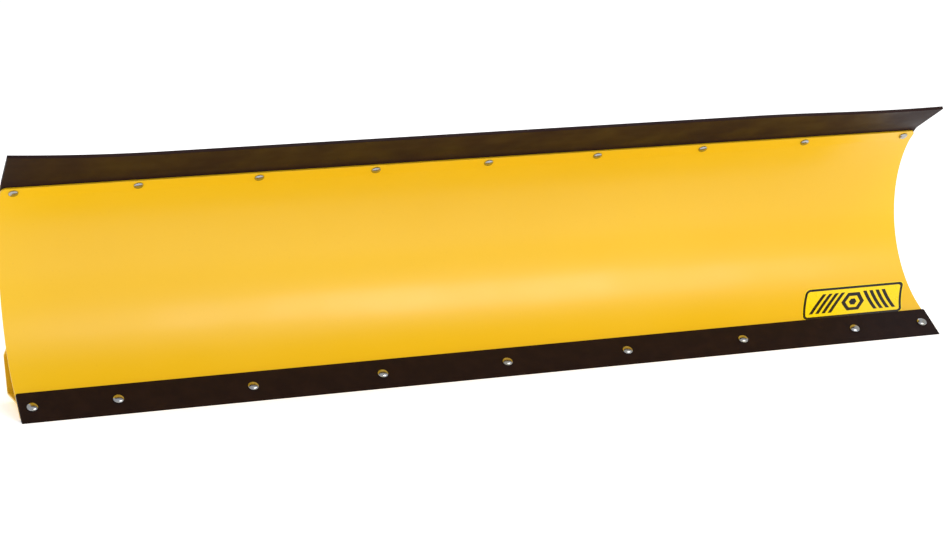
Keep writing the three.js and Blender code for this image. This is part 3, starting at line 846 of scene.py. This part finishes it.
def pivot_ears():
    y, z, radius = FRONT + 236 * MM, 48 * MM, 20 * MM
    round_end = [(y + radius * c, z + radius * s)
                 for c, s in (turn(math.pi * (i / 20 - 0.5)) for i in range(21))]
    foot, head = 26 * MM, 76 * MM
    seats = [(behind_channel(z) + SEAT_GAP, z) for z in (foot, head)]
    outline = [seats[0]] + round_end + [seats[1]]
    for side, _ in SIDES:
        for where in ("inner", "outer"):
            node = f"pivot_ear_{side}_{where}"
            low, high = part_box(node)
            made = plate(node + "_plate", outline, [(y, z, POST_BORE)], low.x, high.x, 0.8 * MM)
            piece(made, "blade", "yellow_paint", node)
            plate_welds(node, low.x, high.x, foot + 2 * MM, head - 2 * MM)


def pivot_pins():
    for side, sign in SIDES:
        node = f"pivot_pin_{side}"
        low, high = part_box(node)
        length = high.x - low.x
        start = Vector((low.x if sign > 0 else high.x, (low.y + high.y) / 2, (low.z + high.z) / 2))
        profile = [(0, 0), (10.5 * MM, 0), (11.6 * MM, 0.4 * MM), (12 * MM, 1.4 * MM), (12 * MM, 5.4 * MM),
                   (11.6 * MM, 6 * MM), (POST_RADIUS + 0.4 * MM, 6 * MM), (POST_RADIUS, 6.4 * MM),
                   (POST_RADIUS, length - 1.8 * MM), (POST_RADIUS - 0.6 * MM, length - 0.6 * MM),
                   (POST_RADIUS - 1.5 * MM, length), (0, length)]
        made = lathe(node + "_steel", profile, start, (sign, 0, 0))
        piece(made, "blade", "zinc", node)


def spring_anchors():
    seat = UPPER_CHANNEL_OUTER * math.cos(math.radians(7)) + GAP
    reach, half = 22 * MM, 13 * MM
    tilt = math.radians(27)
    c0, s0 = turn(tilt)

    def out(r, t):
        return ROLL_CENTRE[0] + r * c0 - t * s0, ROLL_CENTRE[1] + r * s0 + t * c0

    half_circle = [turn(math.pi * (i / 16 - 0.5)) for i in range(17)]
    end = [out(seat + reach + half * c, half * s) for c, s in half_circle]
    outline = [out(seat, -half)] + end + [out(seat, half)]
    for side, _ in SIDES:
        node = f"trip_spring_anchor_{side}"
        low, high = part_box(node)
        eye = out(seat + reach, 0)
        made = plate(node + "_plate", outline, [(*eye, 6.5 * MM)], low.x, high.x, 0.7 * MM)
        piece(made, "blade", "yellow_paint", node)
        for sign, x in ((-1, low.x), (1, high.x)):
            foot = [out(seat + 0.5 * MM, half * (i / 2 - 1)) for i in range(5)]
            line = [Vector((x + sign * 0.7 * MM, y, z)) for y, z in foot]
            piece(weld(f"{node}_weld_{'lr'[sign > 0]}", line), "blade", "yellow_paint")


def tube_profile(inner, outer, low, high, edge):
    return [(inner, low + edge), (inner + edge, low), (outer - edge, low), (outer, low + edge),
            (outer, high - edge), (outer - edge, high), (inner + edge, high), (inner, high - edge)]


def skid_brackets():
    for side, _ in SIDES:
        node = f"skid_bracket_{side}"
        low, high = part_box(node)
        x = (low.x + high.x) / 2
        radius = (high.x - low.x) / 2
        y = high.y - radius
        sleeve = lathe(node + "_sleeve", tube_profile(POST_BORE, radius, low.z, high.z, 0.8 * MM),
                       (x, y, 0), (0, 0, 1), ring=True)
        z0, z1 = low.z + 2 * MM, 77 * MM
        near = y - POST_BORE - 2 * MM
        web = [(behind_channel(z0) + SEAT_GAP, z0), (near, z0), (near, z1),
               (behind_channel(z1) + SEAT_GAP, z1)]
        gusset = plate(node + "_gusset", web, [], x - 4 * MM, x + 4 * MM, 0.7 * MM)
        made = joined(node + "_steel", [sleeve, gusset])
        piece(made, "blade", "yellow_paint", node)
        plate_welds(node, x - 4 * MM, x + 4 * MM, z0 + 2 * MM, z1 - 2 * MM)
        for sign_x in (-1, 1):
            offset_x = 4.6 * MM
            edge_y = y - math.sqrt(radius ** 2 - offset_x ** 2)
            line = [Vector((x + sign_x * offset_x, edge_y, z0 + (z1 - z0) * i / 4)) for i in range(5)]
            bead = weld(f"{node}_sleeve_weld_{'lr'[sign_x > 0]}", line, radius=2.2 * MM)
            piece(bead, "blade", "yellow_paint")


# ---------------------------------------------------------------- skid shoes and linch pins


def skid_shoes():
    for side, _ in SIDES:
        node = f"skid_shoe_{side}"
        low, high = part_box(node)
        centre = ((low.x + high.x) / 2, (low.y + high.y) / 2, 0)
        top = high.z
        profile = [(0, 0), (24, 0), (30, 0.9), (36, 4.0), (39.3, 8.2), (40, 10), (39.4, 11.3),
                   (38, 11.5), (34, 10.4), (28, 11.6), (22, 14), (16.5, 16.6), (14, 18.4), (13, 19.6),
                   (12.4, 20), (8.4, 20), (8, 20.4)]
        steps = [(r * MM, h * MM) for r, h in profile]
        steps += [(POST_RADIUS, top - 1.8 * MM), (POST_RADIUS - 0.6 * MM, top - 0.6 * MM),
                  (POST_RADIUS - 1.5 * MM, top), (0, top)]
        made = lathe(node + "_casting", steps, centre, (0, 0, 1), sides=64)
        piece(made, f"shoe_{side}", "shoe_iron", node)
        for i in (1, 2):
            spacer = f"skid_spacer_{side}_{i}"
            bottom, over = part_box(spacer)
            ring = lathe(spacer + "_steel", tube_profile(POST_BORE, 15 * MM, bottom.z, over.z, 0.6 * MM),
                         centre, (0, 0, 1), ring=True)
            piece(ring, f"spacers_{side}", "zinc", spacer)


CLIP_STANDOFF = 13 * MM
RING_RADIUS = 16 * MM
RING_WIRE = 1.5 * MM
RING_TILT = math.radians(8.6)


def linch_pin(node, body, ring_body, hole, inward, free_end):
    """A linch pin through a post, and the snap ring that turns in its head."""
    hole, inward, free_end = Vector(hole), Vector(inward), Vector(free_end)
    head = hole - inward * CLIP_STANDOFF
    start = head - inward * 4.5 * MM
    profile = [(0, 0), (3.4, 0), (4.6, 0.5), (5, 1.4), (5, 7.9), (4.6, 8.7), (3.4, 9), (3, 9.4),
               (3, 34.2), (2.75, 34.6), (2.75, 36.2), (3, 36.4), (2.4, 37.4), (1.4, 38), (0, 38)]
    steps = [(r * MM, h * MM) for r, h in profile]
    made = lathe(node + "_steel", steps, start, inward, sides=32)
    piece(made, body, "zinc", node)

    across = free_end.cross(inward)
    reach = inward * math.cos(RING_TILT) + free_end * math.sin(RING_TILT)
    centre = head + reach * RING_RADIUS
    bm = bmesh.new()
    rows = []
    around, section = 72, 12
    side_way = across.cross(reach)
    for i in range(around):
        c, s = turn(2 * math.pi * i / around)
        spoke = across * c + reach * s
        row = []
        for k in range(section):
            cs, ss = turn(2 * math.pi * k / section)
            wire = spoke * (RING_RADIUS + RING_WIRE * cs) + side_way * (RING_WIRE * ss)
            row.append(bm.verts.new(centre + wire))
        rows.append(row)
    for low, high in zip(rows, rows[1:] + rows[:1]):
        for k in range(section):
            n = (k + 1) % section
            bm.faces.new((low[k], low[n], high[n], high[k]))
    ring = new_object(node + "_snap_wire", bm)
    piece(ring, ring_body, "zinc", node + "_ring")


def middle(node):
    low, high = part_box(node)
    return (low + high) / 2


def linch_pins():
    for side, sign in SIDES:
        post = middle(f"skid_shoe_{side}")
        clip = middle(f"skid_shoe_clip_{side}")
        linch_pin(f"skid_shoe_clip_{side}", f"shoe_clip_{side}", f"shoe_ring_{side}",
                  (post.x, post.y, clip.z), (-sign, 0, 0), (0, 0, 1))
        pin = middle(f"pivot_pin_{side}")
        clip = middle(f"pivot_pin_clip_{side}")
        linch_pin(f"pivot_pin_clip_{side}", f"pivot_clip_{side}", f"pivot_ring_{side}",
                  (clip.x, pin.y, pin.z), (0, 0, -1), (sign, 0, 0))


# ---------------------------------------------------------------- studio


def area_light(name, at, aim, size, power):
    data = bpy.data.lights.new(name, "AREA")
    data.shape = "RECTANGLE"
    data.size, data.size_y = size
    data.energy = power
    light = bpy.data.objects.new(name, data)
    light.location = at
    light.rotation_euler = (Vector(aim) - Vector(at)).to_track_quat("-Z", "Y").to_euler()
    bpy.context.scene.collection.objects.link(light)


def studio():
    bm = bmesh.new()
    bmesh.ops.create_circle(bm, cap_ends=True, radius=60, segments=96)
    floor = new_object("studio_ground", bm, smooth=False)
    floor.data.materials.append(studio_floor())
    world = bpy.data.worlds.new("studio")
    world.use_nodes = True
    world.node_tree.nodes["Background"].inputs["Color"].default_value = (1.0, 1.0, 1.0, 1)
    world.node_tree.nodes["Background"].inputs["Strength"].default_value = 0.72
    bpy.context.scene.world = world
    area_light("key", (1.3, -2.6, 2.9), (0.4, 0, 0.2), (2.4, 1.6), 62)
    area_light("back", (0.5, 3.2, 2.8), (0, 0.1, 0.2), (3.0, 1.2), 40)
    bpy.context.scene.view_settings.view_transform = "Standard"


moldboard()
wear_bar()
snow_flap()
clamp_strip()
bolts()
label()
lower_channel()
upper_channel()
ribs()
pivot_ears()
pivot_pins()
spring_anchors()
skid_brackets()
skid_shoes()
linch_pins()
studio()
